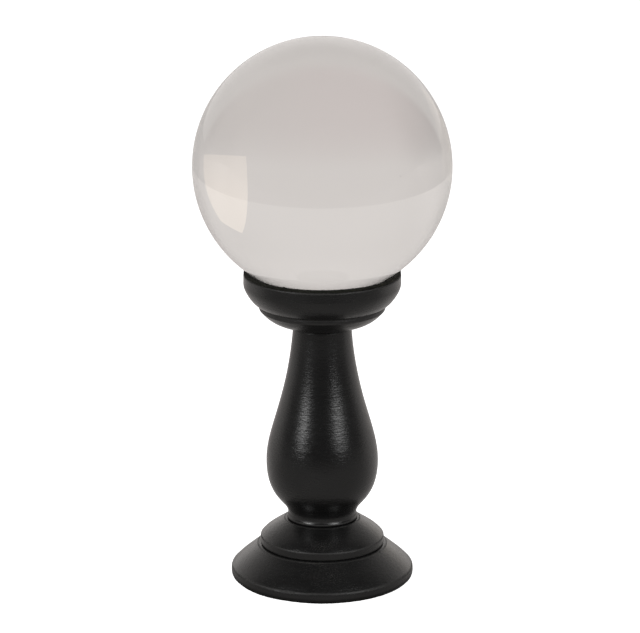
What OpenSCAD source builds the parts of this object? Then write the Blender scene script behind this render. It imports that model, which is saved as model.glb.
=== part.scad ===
// Glass crystal ball on a turned wooden stand.
// The stand is a two-tier base, a baluster stem and a felt-lined cup, held together by
// two wood screws on the centre line. The ball is loose: it rests in the cup and lifts out.
// The origin is the centre of the underside, +Z is up, and all sizes are in millimetres.

/* [Crystal ball] */
// Diameter of the solid glass ball
ball_d = 80; // [79:0.5:81]
// Gap left between the ball and the felt below it
ball_gap = 0.25; // [0.2:0.05:0.3]

/* [Felt] */
// Thickness of the felt that lines the cup
seat_felt_t = 0.95; // [0.8:0.05:1.1]
// How far the raw edge of the lining stands above the cup's rim
seat_felt_lip = 0.75; // [0.5:0.05:1]
// Thickness of the felt disc under the base
base_felt_t = 0.4; // [0.4:0.1:0.8]
// Diameter of the felt disc under the base
base_felt_d = 55.8; // [52:0.2:56]

/* [Base] */
// Largest diameter of the lower tier
lower_base_d = 57.5; // [56:0.5:60]
// Height of the lower tier's top face above the table
lower_base_top = 10.9; // [10.5:0.1:11.5]
// Diameter of the upper tier's band
upper_base_d = 39; // [38.5:0.1:39.4]
// Height of the upper tier's top face above the table
upper_base_top = 19.1; // [18.7:0.1:19.5]

/* [Stem] */
// Diameter of the stem's foot
stem_foot_d = 22.6; // [22:0.1:23]
// Diameter of the waist just above the foot
stem_waist_d = 21.5; // [21:0.1:22]
// Largest diameter of the swelling
stem_belly_d = 35.2; // [34:0.1:37]
// Height of the widest place above the table
stem_belly_z = 38; // [36:0.5:40]
// Diameter of the neck under the cup
stem_neck_d = 18.5; // [18:0.1:19]
// Height of the stem's top face above the table
stem_top = 82.5; // [80:0.5:84]

/* [Cup] */
// Outer diameter at the rim
cup_d = 49; // [48.8:0.1:50]
// Diameter of the upright step around the lower part of the cup
cup_step_d = 39.4; // [38.6:0.1:40]
// Height of the whole cup
cup_h = 16.1; // [15.9:0.1:16.6]
// Diameter of the mouth of the hollow that the ball sits in
cup_mouth_d = 47.1; // [46.8:0.1:47.2]

/* [Joinery] */
// Diameter of the tenon at the stem's foot
foot_tenon_d = 12; // [10:0.5:14]
// Length of the tenon at the stem's foot
foot_tenon_l = 5; // [4:0.5:6]
// Diameter of the tenon at the top of the stem
top_tenon_d = 10; // [9:0.5:12]
// Length of the tenon at the top of the stem
top_tenon_l = 4; // [3:0.5:4.5]
// Room for glue around a tenon
glue_gap = 0.05; // [0.04:0.01:0.1]
// Outer diameter of the screws' threads
screw_d = 4; // [3.5:0.1:4.2]
// Length of the screw that holds the cup, with its head
cup_screw_l = 28; // [24:1:32]
// Length of the screw that holds the base, under its head
base_screw_l = 40; // [35:1:45]
// Outer diameter of the washer
washer_d = 12; // [10:0.5:13]
// Thickness of the washer
washer_t = 1; // [0.8:0.1:1.2]
// Diameter of the recess under the base that takes the washer and the screw's head
recess_d = 15; // [14:0.5:18]
// Height of that recess's ceiling above the table
recess_top = 5; // [4.8:0.1:5.5]

/* [Hidden] */

// Number of sides that a round surface is drawn with
$fn = 96;
// Overrun that keeps one cut from ending on another's face
eps = 0.01;

// Radius of the ball
ball_r = ball_d / 2;
// Radius of the felt's upper surface, which the ball rests in
felt_r = ball_r + ball_gap;
// Radius of the hollow turned in the cup
seat_r = felt_r + seat_felt_t;
// Height of the cup's rim above the table
rim_z = stem_top + cup_h;
// Height of the ball's centre, which is the hollow's centre too
ball_z = rim_z + sqrt(seat_r * seat_r - cup_mouth_d * cup_mouth_d / 4);
// Height of the hollow's lowest point
seat_floor = ball_z - seat_r;

// Radius of the raw edge of the lining, a little inside the rim
felt_edge_r = cup_d / 2 - 0.15;

// Radius of a hole that a thread goes into
pilot_r = screw_d / 2 + 0.05;
// Distance from one turn of a thread to the next
thread_pitch = 1.8;
// Height of a thread's crest above its core
thread_depth = 0.45;
// Radius and height of the countersunk head
sunk_head_r = screw_d;
sunk_head_h = screw_d * 0.6;
// Depth of the countersunk head's rim below the hollow's lowest point
sunk_depth = 0.15;
// Radius and height of the round head under the base
round_head_r = screw_d;
round_head_h = screw_d * 0.6;
// Width and depth of the cross that a screwdriver turns
cross_w = 0.9;
cross_h = 1.4;

// Points along a smooth curve from a to d, which leaves a towards b and comes to d from c
function bend(a, b, c, d, n = 12) = [
    for (i = [1 : n])
        let (t = i / n, u = 1 - t)
            u * u * u * a + 3 * u * u * t * b + 3 * u * t * t * c + t * t * t * d
];

// A solid of revolution whose outline is closed by the centre line
module turned(outline, low, high) {
    rotate_extrude()
        polygon(concat([[0, low]], outline, [[0, high]]));
}

// A round hole between two heights
module hole(r, low, high) {
    translate([0, 0, low])
        cylinder(r = r, h = high - low);
}

// A single-start thread on its core, between two heights
module thread(low, high) {
    turns = (high - low) / thread_pitch;
    core_r = screw_d / 2 - thread_depth;
    translate([0, 0, low])
        linear_extrude(height = high - low, twist = -360 * turns, slices = round(8 * turns), $fn = 9)
            translate([thread_depth, 0])
                circle(r = core_r);
}

// The cross-shaped recess in a screw's head, cut down from its upper face
module driver_cross(top, span) {
    for (turn = [0, 90])
        rotate([0, 0, turn])
            translate([-span / 2, -cross_w / 2, top - cross_h])
                cube([span, cross_w, cross_h + eps]);
}

module crystal_ball() {
    color([0.87, 0.85, 0.84, 0.35])
        translate([0, 0, ball_z])
            sphere(d = ball_d);
}

// A disc of felt pressed into the hollow, with its raw edge over the rim
module seat_felt() {
    lip_z = rim_z + seat_felt_lip;
    color([0.10, 0.10, 0.08])
        difference() {
            union() {
                intersection() {
                    translate([0, 0, ball_z])
                        sphere(r = seat_r);
                    hole(cup_d, seat_floor - 1, rim_z + eps);
                }
                hole(felt_edge_r, rim_z, lip_z);
            }
            translate([0, 0, ball_z])
                sphere(r = felt_r);
        }
}

// The cup's outside: a full underside, a short upright step, and a bowl that rises to a narrow rim
function cup_outline() =
    let (
        r = cup_d / 2,
        neck = stem_neck_d / 2,
        step = cup_step_d / 2,
        z = stem_top,
        step_low = z + 4.8,
        step_top = z + 6.15
    )
    concat(
        [[neck, z]],
        bend([neck, z], [step - 3.9, z + 0.1], [step - 1.8, z + 3], [step - 0.1, step_low], 14),
        bend(
            [step - 0.1, step_low], [step + 0.05, z + 5.2],
            [step + 0.05, z + 5.7], [step - 0.12, step_top], 6
        ),
        bend([step - 0.12, step_top], [step + 2.4, z + 7.1], [r, z + 11.3], [r, z + 12.8], 16),
        bend([r, rim_z - 0.5], [r, rim_z - 0.2], [r - 0.1, rim_z], [r - 0.35, rim_z], 4)
    );

module cup() {
    head_top = seat_floor - sunk_depth;
    head_low = head_top - sunk_head_h;
    color([0.09, 0.09, 0.09])
        difference() {
            turned(cup_outline(), stem_top, rim_z);
            translate([0, 0, ball_z])
                sphere(r = seat_r);
            hole(top_tenon_d / 2 + glue_gap, stem_top - 1, stem_top + top_tenon_l + 4 * glue_gap);
            hole(pilot_r, stem_top, seat_floor + 1);
            translate([0, 0, head_low])
                cylinder(r1 = pilot_r, r2 = sunk_head_r + glue_gap, h = sunk_head_h);
            hole(sunk_head_r + glue_gap, head_top - eps, seat_floor + 1);
        }
}

// Countersunk wood screw that holds the cup on the stem
module cup_screw() {
    head_top = seat_floor - sunk_depth;
    head_low = head_top - sunk_head_h;
    thread_top = stem_top + top_tenon_l;
    point_z = head_top - cup_screw_l;
    core_r = screw_d / 2 - thread_depth;
    color("silver")
        difference() {
            union() {
                translate([0, 0, head_low])
                    cylinder(r1 = screw_d / 2 - 0.2, r2 = sunk_head_r - 0.1, h = sunk_head_h);
                hole(screw_d / 2 - 0.2, thread_top, head_low + eps);
                hole(core_r, point_z + 3, thread_top + eps);
                thread(point_z + 3, thread_top);
                translate([0, 0, point_z])
                    cylinder(r1 = 0.2, r2 = core_r, h = 3 + eps);
            }
            driver_cross(head_top, screw_d * 1.15);
        }
}

// The stem's outside: a small foot, a narrow waist, a full belly and a long taper
function stem_outline() =
    let (
        foot = stem_foot_d / 2,
        waist = stem_waist_d / 2,
        belly = stem_belly_d / 2,
        neck = stem_neck_d / 2,
        z = upper_base_top,
        waist_z = z + 1.8,
        taper_top = stem_top - 2.5
    )
    concat(
        [[foot - 0.2, z], [foot, z + 0.2], [foot, z + 0.6]],
        bend([foot, z + 0.6], [foot - 0.3, z + 1], [waist, z + 1.2], [waist, waist_z], 5),
        bend(
            [waist, waist_z], [waist, waist_z + 4.3],
            [belly, stem_belly_z - 12.5], [belly, stem_belly_z], 24
        ),
        bend(
            [belly, stem_belly_z], [belly, stem_belly_z + 10.6],
            [neck + 1.8, taper_top - 22.4], [neck, taper_top], 32
        ),
        [[neck, stem_top]]
    );

module stem() {
    color([0.09, 0.09, 0.09])
        difference() {
            union() {
                turned(stem_outline(), upper_base_top, stem_top);
                hole(foot_tenon_d / 2, upper_base_top - foot_tenon_l, upper_base_top + eps);
                hole(top_tenon_d / 2, stem_top - eps, stem_top + top_tenon_l);
            }
            hole(pilot_r, upper_base_top - foot_tenon_l - 1, recess_top - washer_t + base_screw_l + 2);
            hole(pilot_r, seat_floor - cup_screw_l - 2, stem_top + top_tenon_l + 1);
        }
}

// The upper tier's outside: an upright band under a shoulder that slopes up to the stem
function upper_base_outline() =
    let (
        r = upper_base_d / 2,
        z = lower_base_top,
        shoulder = upper_base_top - 5.5,
        foot = stem_foot_d / 2
    )
    concat(
        [[r - 0.15, z], [r, z + 0.25], [r, shoulder - 0.8]],
        bend([r, shoulder - 0.8], [r, shoulder - 0.3], [r - 0.1, shoulder - 0.1], [r - 0.3, shoulder], 5),
        bend(
            [r - 0.3, shoulder], [r - 1.5, shoulder + 1.6],
            [foot + 3.7, shoulder + 3.3], [foot + 0.4, upper_base_top], 16
        )
    );

module upper_base() {
    tenon_end = upper_base_top - foot_tenon_l - 4 * glue_gap;
    color([0.09, 0.09, 0.09])
        difference() {
            turned(upper_base_outline(), lower_base_top, upper_base_top);
            hole(foot_tenon_d / 2 + glue_gap, tenon_end, upper_base_top + 1);
            hole(pilot_r, lower_base_top - 1, upper_base_top);
        }
}

// The lower tier's outside: a rounded band under a wide slope, hollowed a little near its top
function lower_base_outline() =
    let (
        r = lower_base_d / 2,
        top_r = upper_base_d / 2 + 0.6,
        z = base_felt_t,
        edge = 3.8,
        top = lower_base_top
    )
    concat(
        [[r - 0.5, z]],
        bend([r - 0.5, z], [r - 0.2, z], [r, z + 0.8], [r, z + 1.6], 8),
        bend([r, z + 1.6], [r, edge - 0.8], [r - 0.1, edge - 0.3], [r - 0.65, edge], 8),
        bend([r - 0.65, edge], [r - 2.45, edge + 2.2], [top_r + 1.7, top - 1.8], [top_r, top], 16)
    );

module lower_base() {
    color([0.09, 0.09, 0.09])
        difference() {
            turned(lower_base_outline(), base_felt_t, lower_base_top);
            hole(recess_d / 2, 0, recess_top);
            hole(pilot_r, recess_top - 1, lower_base_top + 1);
        }
}

// Round-headed wood screw that comes up through both tiers into the stem
module base_screw() {
    head_top = recess_top - washer_t;
    head_low = head_top - round_head_h;
    point_z = head_top + base_screw_l;
    core_r = screw_d / 2 - thread_depth;
    thread_low = upper_base_top - foot_tenon_l;
    color("silver")
        difference() {
            union() {
                rotate_extrude()
                    polygon(concat(
                        [[0, head_top], [round_head_r - 0.1, head_top], [round_head_r - 0.1, head_top - 0.5]],
                        bend(
                            [round_head_r - 0.1, head_top - 0.5], [round_head_r - 0.1, head_low + 0.8],
                            [round_head_r - 1.2, head_low], [round_head_r - 2.2, head_low], 6
                        ),
                        [[0, head_low]]
                    ));
                hole(screw_d / 2 - 0.2, head_top - eps, thread_low);
                hole(core_r, thread_low - eps, point_z - 3);
                thread(thread_low, point_z - 3);
                translate([0, 0, point_z - 3 - eps])
                    cylinder(r1 = core_r, r2 = 0.2, h = 3 + eps);
            }
            mirror([0, 0, 1])
                driver_cross(-head_low, screw_d * 1.15);
        }
}

// Flat washer under the round head
module base_washer() {
    color("silver")
        difference() {
            hole(washer_d / 2, recess_top - washer_t, recess_top);
            hole(pilot_r + 0.1, recess_top - washer_t - 1, recess_top + 1);
        }
}

// Felt disc that covers the recess and stands on the table
module base_felt() {
    color([0.10, 0.10, 0.08])
        hole(base_felt_d / 2, 0, base_felt_t);
}

crystal_ball();
seat_felt();
cup();
cup_screw();
stem();
upper_base();
lower_base();
base_screw();
base_washer();
base_felt();
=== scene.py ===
"""Looks of the crystal ball and its turned stand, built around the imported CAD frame."""

import math

import bmesh
import bpy
import numpy as np
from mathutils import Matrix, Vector


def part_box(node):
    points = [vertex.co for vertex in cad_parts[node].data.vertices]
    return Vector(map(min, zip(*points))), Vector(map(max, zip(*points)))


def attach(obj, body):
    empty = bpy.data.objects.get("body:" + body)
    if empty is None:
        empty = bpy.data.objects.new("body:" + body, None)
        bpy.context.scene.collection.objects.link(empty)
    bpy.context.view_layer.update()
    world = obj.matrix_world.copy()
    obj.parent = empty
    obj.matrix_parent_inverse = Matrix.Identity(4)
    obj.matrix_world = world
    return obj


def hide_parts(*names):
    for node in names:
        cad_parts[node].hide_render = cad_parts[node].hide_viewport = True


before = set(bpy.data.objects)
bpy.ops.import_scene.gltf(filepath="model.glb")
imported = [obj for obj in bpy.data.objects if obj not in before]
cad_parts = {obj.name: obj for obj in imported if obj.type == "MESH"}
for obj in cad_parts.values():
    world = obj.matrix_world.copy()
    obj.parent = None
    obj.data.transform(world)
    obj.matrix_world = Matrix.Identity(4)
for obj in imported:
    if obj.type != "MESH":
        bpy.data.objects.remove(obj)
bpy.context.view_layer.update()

MM = 0.001

# ---------------------------------------------------------------- camera
# The camera stands in front of the object, a little above it, and looks slightly down.
CAMERA_AWAY = 987.6 * MM
CAMERA_UP = 360.7 * MM
CAMERA_ASIDE = -0.7 * MM
CAMERA_PITCH_DOWN = math.radians(15.62)
CAMERA_LENS_MM = 185.6
CAMERA_SENSOR_MM = 36.0


def make_camera():
    data = bpy.data.cameras.new("camera")
    data.lens = CAMERA_LENS_MM
    data.sensor_width = CAMERA_SENSOR_MM
    data.clip_start = 0.01
    data.clip_end = 100.0
    camera = bpy.data.objects.new("camera", data)
    camera.location = (CAMERA_ASIDE, -CAMERA_AWAY, CAMERA_UP)
    camera.rotation_euler = (math.pi / 2 - CAMERA_PITCH_DOWN, 0.0, 0.0)
    bpy.context.scene.collection.objects.link(camera)
    bpy.context.scene.camera = camera
    bpy.context.scene.view_settings.view_transform = "Standard"


# ---------------------------------------------------------------- small helpers for node trees
class Tree:
    """A short way to add nodes to a material's or the world's node tree and link them."""

    def __init__(self, owner):
        owner.use_nodes = True
        self.nt = owner.node_tree
        self.nt.nodes.clear()

    def add(self, kind, inputs=None, **settings):
        node = self.nt.nodes.new(kind)
        for name, value in settings.items():
            setattr(node, name, value)
        for name, value in (inputs or {}).items():
            self.put(node.inputs[name], value)
        return node

    def put(self, socket, value):
        if isinstance(value, bpy.types.NodeSocket):
            self.nt.links.new(value, socket)
        else:
            socket.default_value = value

    def math(self, operation, a, b=0.0, clamp=False):
        node = self.add("ShaderNodeMath", operation=operation, use_clamp=clamp)
        self.put(node.inputs[0], a)
        self.put(node.inputs[1], b)
        return node.outputs[0]

    def remap(self, value, low, high, to_low=0.0, to_high=1.0):
        node = self.add("ShaderNodeMapRange", {"Value": value, "From Min": low, "From Max": high})
        node.interpolation_type = "SMOOTHSTEP"
        self.put(node.inputs["To Min"], to_low)
        self.put(node.inputs["To Max"], to_high)
        return node.outputs["Result"]

    def mix_colour(self, factor, a, b):
        node = self.add("ShaderNodeMix", data_type="RGBA")
        self.put(node.inputs[0], factor)
        self.put(node.inputs[6], a)
        self.put(node.inputs[7], b)
        return node.outputs[2]

    def mix_shader(self, factor, a, b):
        node = self.add("ShaderNodeMixShader")
        self.put(node.inputs[0], factor)
        self.put(node.inputs[1], a)
        self.put(node.inputs[2], b)
        return node.outputs[0]

    def place(self, scale=(1.0, 1.0, 1.0)):
        """The object's own coordinates, which are metres, stretched by scale."""
        where = self.add("ShaderNodeTexCoord").outputs["Object"]
        return self.add("ShaderNodeMapping", {"Vector": where, "Scale": scale}).outputs[0]

    def noise(self, where, scale, detail=2.0, roughness=0.5):
        values = {"Vector": where, "Scale": scale, "Detail": detail, "Roughness": roughness}
        return self.add("ShaderNodeTexNoise", values).outputs["Fac"]

    def bump(self, height, distance, strength=1.0, normal=None):
        node = self.add("ShaderNodeBump", {"Height": height, "Distance": distance, "Strength": strength})
        if normal is not None:
            self.put(node.inputs["Normal"], normal)
        return node.outputs[0]

    def output(self, shader, kind="ShaderNodeOutputMaterial"):
        self.put(self.add(kind).inputs["Surface"], shader)


def grey(value):
    return (value, value, value, 1.0)


# ---------------------------------------------------------------- materials
def specks(tree, cell, size, share):
    """1 on tiny scattered dots: one cell in so many holds a dot of the given size, all in metres."""
    dots = tree.add("ShaderNodeTexVoronoi", {"Vector": tree.place(), "Scale": 1.0 / cell})
    near = tree.math("LESS_THAN", dots.outputs["Distance"], size / cell)
    pick = tree.add("ShaderNodeSeparateColor", {"Color": dots.outputs["Color"]}).outputs[0]
    return tree.math("MULTIPLY", near, tree.math("LESS_THAN", pick, share))


def painted_wood():
    """Satin black paint over lathe-turned wood: fine streaky grain, a few dust specks and worn edges."""
    mat = bpy.data.materials.new("satin_black_paint")
    t = Tree(mat)
    wear = t.add("ShaderNodeAttribute", attribute_name="wear").outputs["Fac"]
    rings = t.noise(t.place((120.0, 120.0, 1500.0)), 1.0, 4.0, 0.6)
    grain = t.noise(t.place((700.0, 700.0, 2200.0)), 1.0, 3.0, 0.6)
    cloud = t.noise(t.place(), 60.0, 3.0)
    dust = specks(t, 3.4 * MM, 0.09 * MM, 0.16)
    tone = t.mix_colour(t.remap(rings, 0.35, 0.7), grey(0.0070), grey(0.0092))
    tone = t.mix_colour(t.remap(cloud, 0.4, 0.75), tone, grey(0.0106))
    tone = t.mix_colour(wear, tone, (0.034, 0.033, 0.031, 1.0))
    tone = t.mix_colour(dust, tone, grey(0.14))
    rough = t.math("ADD", t.remap(cloud, 0.3, 0.7, 0.23, 0.27), t.remap(grain, 0.3, 0.7, -0.02, 0.04))
    rough = t.math("ADD", rough, t.math("MULTIPLY", wear, 0.9), clamp=True)
    normal = t.bump(rings, 0.01 * MM, 0.35)
    normal = t.bump(grain, 0.065 * MM, 1.0, normal)
    shader = t.add("ShaderNodeBsdfPrincipled", {"Base Color": tone, "Roughness": rough, "Normal": normal})
    shader.inputs["Specular IOR Level"].default_value = 0.5
    t.output(shader.outputs[0])
    return mat


def black_felt():
    """Matted black wool with an olive cast, uneven in tone and fuzzy."""
    mat = bpy.data.materials.new("black_felt")
    t = Tree(mat)
    fleck = t.noise(t.place(), 2600.0, 4.0, 0.7)
    matt = t.noise(t.place(), 420.0, 3.0, 0.6)
    tone = t.mix_colour(t.remap(fleck, 0.35, 0.75), (0.004, 0.004, 0.003, 1), (0.020, 0.020, 0.013, 1))
    tone = t.mix_colour(t.remap(matt, 0.45, 0.8), tone, (0.024, 0.023, 0.016, 1))
    normal = t.bump(fleck, 0.08 * MM, 0.8, t.bump(matt, 0.25 * MM, 0.6))
    rough = t.remap(fleck, 0.2, 0.8, 0.86, 0.98)
    shader = t.add("ShaderNodeBsdfPrincipled", {"Base Color": tone, "Roughness": rough, "Normal": normal})
    shader.inputs["Specular IOR Level"].default_value = 0.25
    shader.inputs["Sheen Weight"].default_value = 0.02
    shader.inputs["Sheen Roughness"].default_value = 0.6
    t.output(shader.outputs[0])
    return mat


def clear_glass():
    """Polished solid glass with a trace of warmth, and handling marks too faint to blur what is behind."""
    mat = bpy.data.materials.new("clear_glass")
    t = Tree(mat)
    smear = t.noise(t.place(), 55.0, 3.0, 0.6)
    tone = t.mix_colour(t.remap(smear, 0.3, 0.7), (0.972, 0.958, 0.948, 1), (0.978, 0.965, 0.955, 1))
    rough = t.remap(smear, 0.55, 0.85, 0.0, 0.006)
    shader = t.add("ShaderNodeBsdfPrincipled", {"Base Color": tone, "Roughness": rough})
    shader.inputs["Transmission Weight"].default_value = 1.0
    shader.inputs["IOR"].default_value = 1.52
    t.output(shader.outputs[0])
    return mat


def zinc_steel():
    """Bright zinc plate with fine scratches and dull patches."""
    mat = bpy.data.materials.new("zinc_steel")
    t = Tree(mat)
    scratch = t.noise(t.place((4000.0, 900.0, 4000.0)), 1.0, 3.0, 0.6)
    patch = t.noise(t.place(), 500.0, 3.0)
    tone = t.mix_colour(patch, (0.56, 0.57, 0.60, 1), (0.72, 0.72, 0.70, 1))
    rough = t.math("ADD", t.remap(patch, 0.3, 0.7, 0.24, 0.40), t.remap(scratch, 0.3, 0.7, 0.0, 0.08))
    normal = t.bump(scratch, 0.01 * MM, 0.4)
    shader = t.add("ShaderNodeBsdfPrincipled", {"Base Color": tone, "Roughness": rough, "Normal": normal})
    shader.inputs["Metallic"].default_value = 1.0
    t.output(shader.outputs[0])
    return mat


# ---------------------------------------------------------------- outlines, read from the CAD nodes
# The angle, round the axis, of the cut that a solid's outline is read from.
SECTION_TURN = 0.37


def section(node):
    """Half of the cross-section of a CAD solid of revolution, as (radius, height) points in order.

    The line is closed where the solid has a through hole, and otherwise runs from axis to axis.
    """
    bm = bmesh.new()
    bm.from_mesh(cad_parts[node].data)
    bmesh.ops.remove_doubles(bm, verts=bm.verts, dist=1e-7)
    side = Vector((-math.sin(SECTION_TURN), math.cos(SECTION_TURN), 0.0))
    cut = bmesh.ops.bisect_plane(bm, geom=bm.verts[:] + bm.edges[:] + bm.faces[:], plane_no=side, dist=1e-8)
    edges = [e for e in cut["geom_cut"] if isinstance(e, bmesh.types.BMEdge)]
    beside = {}
    for e in edges:
        for v in e.verts:
            beside.setdefault(v, []).append(e.other_vert(v))
    out = Vector((math.cos(SECTION_TURN), math.sin(SECTION_TURN), 0.0))
    loops = []
    left = set(beside)
    while left:
        start = max(left, key=lambda v: v.co.dot(out))
        walk = [start]
        left.discard(start)
        while True:
            onward = [v for v in beside[walk[-1]] if v in left]
            if not onward:
                break
            walk.append(onward[0])
            left.discard(onward[0])
        loops.append([(v.co.dot(out), v.co.z) for v in walk])
    bm.free()
    loop = max(loops, key=lambda points: max(p[0] for p in points))
    return half_of(loop)


def half_of(loop):
    """The part of a closed line with a positive radius, and whether it closes on itself."""
    if min(r for r, z in loop) > -1e-7:
        return np.array(loop), True
    inside = [r > 1e-7 for r, z in loop]
    first = next(i for i in range(len(loop)) if inside[i] and not inside[i - 1])
    loop = loop[first:] + loop[:first]
    keep = [p for p in loop if p[0] > 1e-7]
    ends = (axis_height(loop[-1], loop[0]), axis_height(loop[len(keep) - 1], loop[len(keep)]))
    return np.array([(0.0, ends[0])] + keep + [(0.0, ends[1])]), False


def axis_height(a, b):
    """The height at which the line from a to b meets the axis."""
    return a[1] + (b[1] - a[1]) * a[0] / (a[0] - b[0])


def finely(outline, closed, skin, step, coarse):
    """The outline with points every step or less where skin(radius, height) is true, and coarse elsewhere."""
    points = []
    count = len(outline)
    for i in range(count if closed else count - 1):
        a = outline[i]
        b = outline[(i + 1) % count]
        middle = (a + b) / 2
        pitch = step if skin(*middle) else coarse
        pieces = max(1, math.ceil(np.linalg.norm(b - a) / pitch))
        points += [a + (b - a) * k / pieces for k in range(pieces)]
    if not closed:
        points.append(outline[-1])
    return np.array(points)


def eased(points, closed, skin, rounds):
    """The outline with its corners eased, where it belongs to the skin."""
    soft = np.array([skin(*p) for p in points])
    if not closed:
        soft[0] = soft[-1] = False
    for _ in range(rounds):
        middle = (np.roll(points, 1, 0) + np.roll(points, -1, 0)) / 2
        points = np.where(soft[:, None], points * 0.5 + middle * 0.5, points)
    return points


def outward(points, closed):
    """Unit normals of an outline, and how sharply it turns outwards at each point, in radians per mm."""
    after = np.roll(points, -1, 0) - points
    before = points - np.roll(points, 1, 0)
    if not closed:
        after[-1] = before[-1]
        before[0] = after[0]
    along = after + before
    along /= np.linalg.norm(along, axis=1)[:, None] + 1e-12
    area = np.sum(points[:, 0] * np.roll(points[:, 1], -1) - np.roll(points[:, 0], -1) * points[:, 1])
    sense = 1.0 if area > 0 else -1.0
    normal = np.stack([along[:, 1], -along[:, 0]], 1) * sense
    cross = before[:, 0] * after[:, 1] - before[:, 1] * after[:, 0]
    dot = np.sum(before * after, 1)
    length = (np.linalg.norm(before, axis=1) + np.linalg.norm(after, axis=1)) / 2
    turn = np.arctan2(cross, dot) * sense / (length / MM + 1e-9)
    return normal, turn


# ---------------------------------------------------------------- seeded unevenness
class Ripples:
    """A smooth random pattern round the axis, from -1 to 1 or so, that closes on itself."""

    def __init__(self, seed, count, most_turns, longest, shortest):
        rng = np.random.default_rng(seed)
        self.turns = rng.integers(0, most_turns + 1, count)
        waves = np.exp(rng.uniform(math.log(shortest), math.log(longest), count))
        self.rate = 2 * math.pi / waves * rng.choice([-1, 1], count)
        self.phase = rng.uniform(0, 2 * math.pi, count)
        self.gain = math.sqrt(2.0 / count)

    def at(self, angle, height):
        total = np.zeros(np.broadcast(angle, height).shape)
        for turns, rate, phase in zip(self.turns, self.rate, self.phase):
            total += np.cos(turns * angle + rate * height + phase)
        return total * self.gain


def smooth(value, low, high):
    x = np.clip((value - low) / (high - low), 0.0, 1.0)
    return x * x * (3 - 2 * x)


# ---------------------------------------------------------------- meshes
def link(name, points, faces, material, wear=None):
    mesh = bpy.data.meshes.new(name)
    mesh.from_pydata(points, [], faces)
    mesh.update()
    if wear is not None:
        layer = mesh.attributes.new("wear", "FLOAT", "POINT")
        layer.data.foreach_set("value", np.asarray(wear, np.float32))
    bm = bmesh.new()
    bm.from_mesh(mesh)
    bmesh.ops.recalc_face_normals(bm, faces=bm.faces)
    bm.to_mesh(mesh)
    bm.free()
    mesh.polygons.foreach_set("use_smooth", [True] * len(mesh.polygons))
    mesh.materials.append(material)
    piece = bpy.data.objects.new(name, mesh)
    bpy.context.scene.collection.objects.link(piece)
    return piece


def spun(rings, closed, count):
    """Faces of a lathe surface: rings of count points each, where an axis point stays a ring of one."""
    faces = []
    last = len(rings) if closed else len(rings) - 1
    around = np.arange(count)
    onward = (around + 1) % count
    for i in range(last):
        a = rings[i]
        b = rings[(i + 1) % len(rings)]
        if a[1] == 1:
            faces += np.stack([np.full(count, a[0]), b[0] + onward, b[0] + around], 1).tolist()
        elif b[1] == 1:
            faces += np.stack([a[0] + around, a[0] + onward, np.full(count, b[0])], 1).tolist()
        else:
            quads = [a[0] + around, a[0] + onward, b[0] + onward, b[0] + around]
            faces += np.stack(quads, 1).tolist()
    return faces


def lathe(name, points, closed, count, material, shift):
    """A piece spun from an outline. For each ring, shift gives its new radii, heights and wear."""
    angle = np.arange(count) * 2 * math.pi / count
    normal, turn = outward(points, closed)
    coords, wears, rings = [], [], []
    at = 0
    for i, (r, z) in enumerate(points):
        if r < 1e-7:
            coords.append(np.array([[0.0, 0.0, z]]))
            wears.append(np.zeros(1))
            rings.append((at, 1))
            at += 1
            continue
        radii, heights, wear = shift(i, r, z, normal[i], turn[i], angle)
        ring = np.stack([radii * np.cos(angle), radii * np.sin(angle), heights + 0 * angle], 1)
        coords.append(ring)
        wears.append(wear + 0 * angle)
        rings.append((at, count))
        at += count
    faces = spun(rings, closed, count)
    return link(name, np.concatenate(coords).tolist(), faces, material, np.concatenate(wears))


# ---------------------------------------------------------------- the turned pieces
# How sharply an outline turns where a corner starts to count as one, and where it fully does.
CORNER_TURN = (0.25, 0.9)


def turned_piece(name, node, material, skin, seed, count, step, easing=9):
    """A turned and painted piece: eased corners, tool ridges, chipped sharp edges and ragged dull creases."""
    outline, closed = section(node)
    points = finely(outline, closed, skin, step, 2.5 * MM)
    points = eased(points, closed, skin, easing)
    ridges = Ripples(seed, 24, 1, 6 * MM, 0.9 * MM)
    sway = Ripples(seed + 1, 10, 3, 60 * MM, 14 * MM)
    chips = Ripples(seed + 2, 70, 240, 8 * MM, 0.6 * MM)
    patches = Ripples(seed + 3, 14, 9, 30 * MM, 6 * MM)

    def shift(i, r, z, normal, turn, angle):
        if not skin(r, z):
            return np.full(count, r), np.full(count, z), np.zeros(count)
        edge = smooth(turn, *CORNER_TURN)
        crease = smooth(-turn, *CORNER_TURN)
        rough = chips.at(angle, z)
        worn = edge * smooth(rough + 0.8 * patches.at(angle, z), 0.9, 1.7)
        depth = 0.003 * MM * ridges.at(angle, z) + 0.012 * MM * sway.at(angle, z) - 0.012 * MM
        depth = depth - worn * 0.04 * MM - edge * 0.02 * MM * smooth(rough, 0.0, 1.0)
        ragged = crease * (0.45 + 0.35 * smooth(rough, 0.0, 1.2))
        return r + depth * normal[0], z + depth * normal[1], np.maximum(np.maximum(worn, 0.3 * edge), ragged)

    piece = lathe(name, points, closed, count, material, shift)
    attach(piece, "stand")
    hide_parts(node)


# ---------------------------------------------------------------- felt
HAIR_LONG = 0.42 * MM
HAIR_THICK = 0.016 * MM
# Fibres as deep as this in the ball, and as far as this from it, end up between these two gaps from its face.
PRESS_DEPTH = 0.3 * MM
PRESS_REACH = 0.06 * MM
PRESS_GAP = 0.01 * MM


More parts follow.
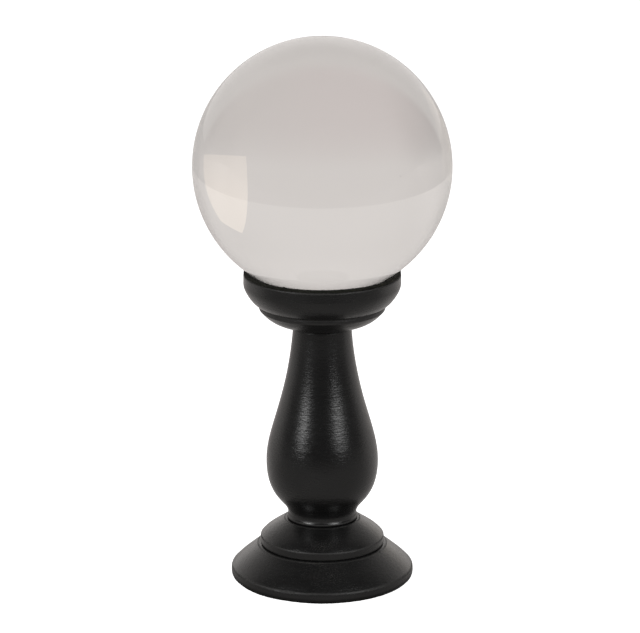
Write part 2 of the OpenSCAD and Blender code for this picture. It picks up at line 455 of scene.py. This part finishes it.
def fibres(roots, normals, seed, length, radius):
    """Short tapering hairs of three sides, each closed, that lean at random from the roots."""
    rng = np.random.default_rng(seed)
    count = len(roots)
    lean = rng.normal(size=(count, 3))
    way = normals + 0.9 * lean
    way /= np.linalg.norm(way, axis=1)[:, None]
    bend = rng.normal(size=(count, 3)) * 0.5 + way
    bend /= np.linalg.norm(bend, axis=1)[:, None]
    side = np.cross(way, rng.normal(size=(count, 3)))
    side /= np.linalg.norm(side, axis=1)[:, None]
    other = np.cross(way, side)
    long = length * rng.uniform(0.4, 1.0, (count, 1))
    root = roots - way * radius * 2
    middle = root + way * long * 0.55
    tip = middle + bend * long * 0.45
    corners = []
    for centre, size in ((root, radius), (middle, radius * 0.8)):
        for k in range(3):
            turn = 2 * math.pi * k / 3
            corners.append(centre + size * (math.cos(turn) * side + math.sin(turn) * other))
    corners.append(tip)
    points = np.stack(corners, 1).reshape(-1, 3)
    pattern = [(2, 1, 0)]
    pattern += [(k, (k + 1) % 3, (k + 1) % 3 + 3, k + 3) for k in range(3)]
    pattern += [(k + 3, (k + 1) % 3 + 3, 6) for k in range(3)]
    faces = [[7 * i + c for c in face] for i in range(count) for face in pattern]
    return points, faces


def felt_piece(name, node, material, seed, count, step, edge_r, hairs, rag=1.0, lump_angle=None):
    """Felt with an uneven face and a raw, fuzzy cut edge beyond the radius edge_r, as uneven as rag says."""
    outline, closed = section(node)
    points = finely(outline, closed, lambda r, z: r > edge_r - 1.5 * MM, step, 4 * step)
    points = eased(points, closed, lambda r, z: r > 1 * MM, 3)
    nap = Ripples(seed, 70, 160, 5 * MM, 0.7 * MM)
    swell = Ripples(seed + 1, 16, 12, 20 * MM, 5 * MM)

    def shift(i, r, z, normal, turn, angle):
        near_edge = smooth(r, edge_r - 0.9 * MM, edge_r)
        calm = smooth(r, 0.5 * MM, 3 * MM)
        depth = nap.at(angle, z) * (0.018 + 0.05 * near_edge) * MM * calm
        depth = rag * (depth + swell.at(angle, z) * (0.01 + 0.07 * near_edge) * MM * calm)
        depth = depth - 0.03 * MM * near_edge
        rise = near_edge * smooth(z, edge_z[0], edge_z[1]) * 0.10 * MM * rag * swell.at(angle, z + 40 * MM)
        if lump_angle is not None:
            away = np.abs((angle - lump_angle + math.pi) % (2 * math.pi) - math.pi)
            lump = np.exp(-((away * edge_r / (0.9 * MM)) ** 2))
            rise = rise + near_edge * smooth(z, *edge_z) * 0.35 * MM * lump
        heights = np.maximum(z + depth * normal[1] + rise, 0.0)
        return r + depth * normal[0], heights, np.zeros(count)

    edge_heights = points[points[:, 0] > edge_r - 0.05 * MM][:, 1]
    edge_z = (edge_heights.min(), edge_heights.max() + 1e-6)
    piece = lathe(name, points, closed, count, material, shift)
    add_hairs(piece, seed + 2, hairs, edge_r)
    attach(piece, "stand")
    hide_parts(node)


def ball_place():
    """Centre of the resting ball, on the stand's axis, and its radius."""
    low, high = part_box("crystal_ball")
    return np.array([0.0, 0.0, (low.z + high.z) / 2]), (high.z - low.z) / 2


def pressed(points):
    """Points of the felt, where those that would be in the ball or touch it are squashed against its face."""
    centre, radius = ball_place()
    away = points - centre
    far = np.linalg.norm(away, axis=1)
    reach = radius + PRESS_REACH
    flat = np.interp(far, (radius - PRESS_DEPTH, reach), (radius + PRESS_GAP, reach))
    near = far < reach
    return np.where(near[:, None], centre + away * (flat / far)[:, None], points)


def add_hairs(piece, seed, hairs, edge_r):
    """Loose hairs all over the felt's free faces, most of them on its cut edge."""
    mesh = piece.data
    count = len(mesh.vertices)
    at = np.zeros(count * 3, np.float32)
    mesh.vertices.foreach_get("co", at)
    at = at.reshape(-1, 3).astype(float)
    normal = np.zeros(count * 3, np.float32)
    mesh.vertex_normals.foreach_get("vector", normal)
    normal = normal.reshape(-1, 3).astype(float)
    radius = np.hypot(at[:, 0], at[:, 1])
    free = (normal[:, 2] > -0.2) & (radius > 0.5 * MM)
    weight = np.where(free, np.where(radius > edge_r - 1.0 * MM, 1.0, 0.35 * radius / edge_r), 0.0)
    rng = np.random.default_rng(seed)
    pick = rng.choice(count, hairs, p=weight / weight.sum())
    points, faces = fibres(at[pick], normal[pick], seed + 1, HAIR_LONG, HAIR_THICK)
    points[:, 2] = np.maximum(points[:, 2], 0.0)
    own = [list(p.vertices) for p in mesh.polygons]
    own += [[c + count for c in face] for face in faces]
    material = mesh.materials[0]
    mesh.clear_geometry()
    mesh.from_pydata(pressed(np.concatenate([at, points])).tolist(), [], own)
    mesh.update()
    mesh.polygons.foreach_set("use_smooth", [True] * len(mesh.polygons))
    if not mesh.materials:
        mesh.materials.append(material)


# ---------------------------------------------------------------- glass
BALL_CUTS = 110
BUBBLE_CUTS = 8
# Each bubble's place, in radii of the ball from its centre, and its radius in millimetres.
BUBBLES = (
    (0.48, -0.35, 0.02, 0.11),
    (0.14, -0.10, 0.86, 0.10),
    (0.80, -0.25, -0.30, 0.12),
    (-0.30, 0.42, 0.35, 0.08),
)


def quad_sphere(centre, radius, cuts):
    """Points and quads of a cube's faces, divided and pressed onto a sphere at even angles."""
    steps = np.tan((np.linspace(-1, 1, cuts + 1)) * math.pi / 4)
    u, v = np.meshgrid(steps, steps, indexing="ij")
    one = np.ones_like(u)
    sides = ((u, v, one), (v, u, -one), (one, u, v), (-one, v, u), (v, one, u), (u, -one, v))
    points, faces = [], []
    index = np.arange((cuts + 1) ** 2).reshape(cuts + 1, cuts + 1)
    for k, side in enumerate(sides):
        p = np.stack(side, -1).reshape(-1, 3)
        points.append(p / np.linalg.norm(p, axis=1)[:, None])
        base = index + k * (cuts + 1) ** 2
        quads = (base[:-1, :-1], base[1:, :-1], base[1:, 1:], base[:-1, 1:])
        faces.append(np.stack(quads, -1).reshape(-1, 4))
    return np.array(centre) + radius * np.concatenate(points), np.concatenate(faces)


def glass_ball(material):
    """The solid ball, with a few tiny bubbles that the glass froze round."""
    centre, radius = ball_place()
    points, faces = quad_sphere(centre, radius, BALL_CUTS)
    faces = faces.tolist()
    for x, y, z, size in BUBBLES:
        middle = centre + np.array((x, y, z)) * radius
        more, quads = quad_sphere(middle, size * MM, BUBBLE_CUTS)
        faces += (quads[:, ::-1] + len(points)).tolist()
        points = np.concatenate([points, more])
    mesh = bpy.data.meshes.new("glass_ball")
    mesh.from_pydata(points.tolist(), [], faces)
    bm = bmesh.new()
    bm.from_mesh(mesh)
    bmesh.ops.remove_doubles(bm, verts=bm.verts, dist=1e-6)
    bm.to_mesh(mesh)
    bm.free()
    mesh.polygons.foreach_set("use_smooth", [True] * len(mesh.polygons))
    mesh.materials.append(material)
    ball = bpy.data.objects.new("glass_ball", mesh)
    bpy.context.scene.collection.objects.link(ball)
    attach(ball, "ball")
    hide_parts("crystal_ball")
    return ball


# ---------------------------------------------------------------- stage and light
TABLE_TONE = (0.652, 0.624, 0.606, 1.0)
TABLE_BEHIND = (0.622, 0.586, 0.568, 1.0)
TABLE_BLUSH = (0.634, 0.586, 0.572, 1.0)
TABLE_FAR = (0.698, 0.668, 0.649, 1.0)
BACKDROP_TONE = (0.743, 0.714, 0.694, 1.0)
# Painted shade on what is mirrored of the floor: the share of its glow kept just in front of the stand, and
# far in front.
TABLE_FRONT_SHARE = 0.55
TABLE_FAR_FRONT_SHARE = 0.14
# Painted contact shadow on the floor's glow round the base: the share of the glow kept there, and the radii
# where the shadow is full and where it has faded out.
CONTACT_SHADE_SHARE = 0.15
CONTACT_SHADE_NEAR = 28.5 * MM
CONTACT_SHADE_FAR = 32.5 * MM
FLOOR_HALF = 12.0
FLOOR_LIFT = 0.97
WHITE_STRENGTH = 1.02
AIM_HEIGHT = 0.09
PANEL_TONE = (0.165, 0.136, 0.102, 1.0)
PANEL_FOOT = (0.197, 0.457)
PANEL_TURN = math.radians(-20)
PANEL_WIDE = 0.303
PANEL_TALL = 0.235
PANEL_TOP = (0.045, 0.165)
PANEL_BOW = 0.058
PANEL_BOW_STEPS = 8


def flat_mesh(name, corners, material):
    """A single face, for the stage."""
    mesh = bpy.data.meshes.new(name)
    mesh.from_pydata(corners, [], [tuple(range(len(corners)))])
    mesh.materials.append(material)
    piece = bpy.data.objects.new(name, mesh)
    bpy.context.scene.collection.objects.link(piece)


def table_tone(t):
    """The table's colour and shade by place: darker behind the stand, paler far off, shaded to each side."""
    split = t.add("ShaderNodeSeparateXYZ", {"Vector": t.add("ShaderNodeTexCoord").outputs["Object"]})
    x, y = split.outputs["X"], split.outputs["Y"]
    away = t.math("SQRT", t.math("ADD", t.math("MULTIPLY", x, x), t.math("MULTIPLY", y, y)))
    spread = t.math("SQRT", t.math("ADD", t.math("MULTIPLY", t.math("MULTIPLY", x, x), 0.25), 0.01))
    past = t.remap(t.math("SUBTRACT", y, t.math("ADD", spread, 0.045)), -0.02, 0.025)
    turn = t.math("DIVIDE", x, away)
    behind = t.mix_colour(t.remap(turn, -0.1, 0.4), TABLE_BLUSH, TABLE_BEHIND)
    tone = t.mix_colour(t.remap(away, 0.2, 0.65), behind, TABLE_FAR)
    tone = t.mix_colour(past, TABLE_TONE, tone)
    shade = t.math("ADD", t.remap(turn, -0.82, -0.3, 0.25, 0.0), t.remap(turn, 0.4, 0.82, 0.0, 0.13))
    shade = t.math("MULTIPLY", shade, t.remap(past, 0.0, 1.0, 0.45, 1.0))
    shade = t.math("MULTIPLY", shade, t.remap(away, 0.3, 0.8, 1.0, 0.25))
    shade = t.math("SUBTRACT", 1.0, shade)
    return tone, shade, y, away


def straight_through(t, path):
    """1 for a ray that has only been refracted on its way, and so shows what lies behind the glass."""
    mirrored = t.math("MINIMUM", path.outputs["Glossy Depth"], 1.0)
    return t.math("MULTIPLY", path.outputs["Is Transmission Ray"], t.math("SUBTRACT", 1.0, mirrored))


def make_floor():
    """A pale floor: white to the camera, light grey to the glass and the paint.

    What is mirrored of it is dimmed by painted shade towards the front, and by a painted contact shadow right
    beside the base.
    """
    half = FLOOR_HALF
    mat = bpy.data.materials.new("floor")
    t = Tree(mat)
    path = t.add("ShaderNodeLightPath")
    mottle = t.noise(t.place(), 3.0)
    lit = t.add("ShaderNodeBsdfDiffuse", {"Color": t.mix_colour(mottle, grey(0.80), grey(0.84))})
    lift = t.add("ShaderNodeEmission", {"Color": grey(1.0), "Strength": FLOOR_LIFT})
    seen = t.add("ShaderNodeAddShader")
    t.put(seen.inputs[0], lit.outputs[0])
    t.put(seen.inputs[1], lift.outputs[0])
    tone, shade, y, away = table_tone(t)
    # Painted shade: the mirrored floor's glow dims towards the front.
    dim = t.remap(y, -0.7, -0.12, TABLE_FAR_FRONT_SHARE, TABLE_FRONT_SHARE)
    dim = t.math("ADD", dim, t.remap(y, -0.04, 0.1, 0.0, 1.0 - TABLE_FRONT_SHARE))
    # Painted contact shadow: the floor's glow dims right beside the base.
    dim = t.math("MULTIPLY", dim, t.remap(away, CONTACT_SHADE_NEAR, CONTACT_SHADE_FAR, CONTACT_SHADE_SHARE, 1.0))
    strength = t.math("MULTIPLY", shade, t.math("MAXIMUM", dim, straight_through(t, path)))
    glow = t.add("ShaderNodeEmission", {"Color": tone, "Strength": strength})
    t.output(t.mix_shader(path.outputs["Is Camera Ray"], glow.outputs[0], seen.outputs[0]))
    flat_mesh("floor", [(-half, -half, 0), (half, -half, 0), (half, half, 0), (-half, half, 0)], mat)


def make_world():
    """White to the camera. To everything else a light backdrop, mirrored bright only from behind."""
    world = bpy.data.worlds.new("studio")
    bpy.context.scene.world = world
    t = Tree(world)
    path = t.add("ShaderNodeLightPath")
    way = t.add("ShaderNodeTexCoord").outputs["Generated"]
    split = t.add("ShaderNodeSeparateXYZ", {"Vector": way})
    x, y, z = split.outputs["X"], split.outputs["Y"], split.outputs["Z"]
    mirrored = t.math("ADD", t.remap(y, -0.9, 0.0, 0.04, 0.18), t.remap(y, 0.0, 0.5, 0.0, 0.85))
    mirrored = t.math("ADD", mirrored, t.remap(y, 0.6, 0.95, 0.0, 0.4))
    mirrored = t.math("MULTIPLY", mirrored, t.remap(z, 0.3, 0.8, 1.0, 0.5))
    aside = t.remap(t.math("ABSOLUTE", x), 0.5, 0.85, 0.0, 0.06)
    seen = t.math("ADD", t.remap(z, 0.25, 0.7, 1.0, 1.1), aside)
    clear = straight_through(t, path)
    mirrored = t.math("MULTIPLY", mirrored, t.math("SUBTRACT", 1.0, clear))
    strength = t.math("ADD", mirrored, t.math("MULTIPLY", seen, clear))
    room = t.add("ShaderNodeBackground", {"Color": BACKDROP_TONE, "Strength": strength})
    white = t.add("ShaderNodeBackground", {"Color": grey(1.0), "Strength": WHITE_STRENGTH})
    both = t.mix_shader(path.outputs["Is Camera Ray"], room.outputs[0], white.outputs[0])
    t.output(both, "ShaderNodeOutputWorld")


def bowed(start, end):
    """Points from start to before end along a side of the panel that bows out to the right of its way."""
    along = np.subtract(end, start)
    out = np.array([along[1], -along[0]]) / np.linalg.norm(along)
    pull = np.add(start, end) / 2 + PANEL_BOW * out
    steps = np.arange(PANEL_BOW_STEPS) / PANEL_BOW_STEPS
    return [(1 - s) ** 2 * np.array(start) + 2 * s * (1 - s) * pull + s * s * np.array(end) for s in steps]


def panel_outline():
    """The panel's outline as (along, height): a straight foot and top, and two sides that bow outwards."""
    foot = ((0.0, 0.0), (PANEL_WIDE, 0.0))
    top = ((PANEL_TOP[0], PANEL_TALL), (PANEL_TOP[1], PANEL_TALL))
    return bowed(foot[1], top[1]) + [np.array(top[1])] + bowed(top[0], foot[0]) + [np.array(foot[0])]


def make_glow_panel():
    """A dim warm panel that stands on the table behind the object, to the right. The camera can't see it."""
    mat = bpy.data.materials.new("glow_panel")
    t = Tree(mat)
    path = t.add("ShaderNodeLightPath")
    split = t.add("ShaderNodeSeparateXYZ", {"Vector": t.add("ShaderNodeTexCoord").outputs["Object"]})
    rise = t.remap(split.outputs["Z"], 0.0, 0.14, 0.6, 1.0)
    seen = t.math("MULTIPLY", t.math("SUBTRACT", 1.0, path.outputs["Is Camera Ray"]), rise)
    glow = t.add("ShaderNodeEmission", {"Color": PANEL_TONE, "Strength": seen})
    both = t.add("ShaderNodeAddShader")
    t.put(both.inputs[0], glow.outputs[0])
    t.put(both.inputs[1], t.add("ShaderNodeBsdfTransparent").outputs[0])
    t.output(both.outputs[0])
    x, y = PANEL_FOOT
    along = (math.cos(PANEL_TURN), math.sin(PANEL_TURN))
    flat_mesh("glow_panel", [(x + s * along[0], y + s * along[1], z) for s, z in panel_outline()], mat)


def softbox(name, azimuth, elevation, distance, wide, tall, power):
    """A rectangular light. Azimuth 0 is the camera's side and turns to the right; it faces the object."""
    data = bpy.data.lights.new(name, "AREA")
    data.shape = "RECTANGLE"
    data.size = wide
    data.size_y = tall
    data.energy = power
    light = bpy.data.objects.new(name, data)
    a = math.radians(azimuth)
    e = math.radians(elevation)
    target = Vector((0.0, 0.0, AIM_HEIGHT))
    away = Vector((math.sin(a) * math.cos(e), -math.cos(a) * math.cos(e), math.sin(e)))
    light.location = target + away * distance
    light.rotation_mode = "QUATERNION"
    light.rotation_quaternion = away.to_track_quat("Z", "Y")
    light.visible_camera = False
    bpy.context.scene.collection.objects.link(light)
    return light


def spare(light, piece):
    """Keep a light off one piece."""
    apart = bpy.data.collections.new(light.name + "_spares")
    light.light_linking.receiver_collection = apart
    apart.objects.link(piece)
    apart.collection_objects[-1].light_linking.link_state = "EXCLUDE"


def make_lights(ball):
    """Two tall softboxes in front, to the left and right, which the glass is kept clear of."""
    spare(softbox("front_left", -48, 27, 1.2, 0.42, 0.60, 7.0), ball)
    spare(softbox("front_right", 42, 27, 1.2, 0.48, 0.60, 6.0), ball)


# ---------------------------------------------------------------- everything together
make_camera()
paint = painted_wood()
felt = black_felt()
steel = zinc_steel()

turned_piece("turned_cup", "cup", paint, lambda r, z: r > 9.1 * MM, 11, 300, 0.2 * MM)
turned_piece("turned_stem", "stem", paint, lambda r, z: r > 8.5 * MM, 23, 240, 0.2 * MM, 20)
turned_piece("upper_tier", "upper_base", paint, lambda r, z: r > 11.0 * MM, 37, 300, 0.15 * MM)
turned_piece("lower_tier", "lower_base", paint, lambda r, z: r > 18.0 * MM, 53, 360, 0.15 * MM)
felt_piece("felt_lining", "seat_felt", felt, 71, 360, 0.12 * MM, 24.25 * MM, 5200, 1.0, math.radians(241.5))
felt_piece("felt_foot", "base_felt", felt, 89, 360, 0.1 * MM, 27.7 * MM, 900, 0.3)
ball = glass_ball(clear_glass())

for node in ("cup_screw", "base_screw", "base_washer"):
    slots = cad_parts[node].data.materials
    for i in range(len(slots)):
        slots[i] = steel

make_floor()
make_world()
make_glow_panel()
make_lights(ball)
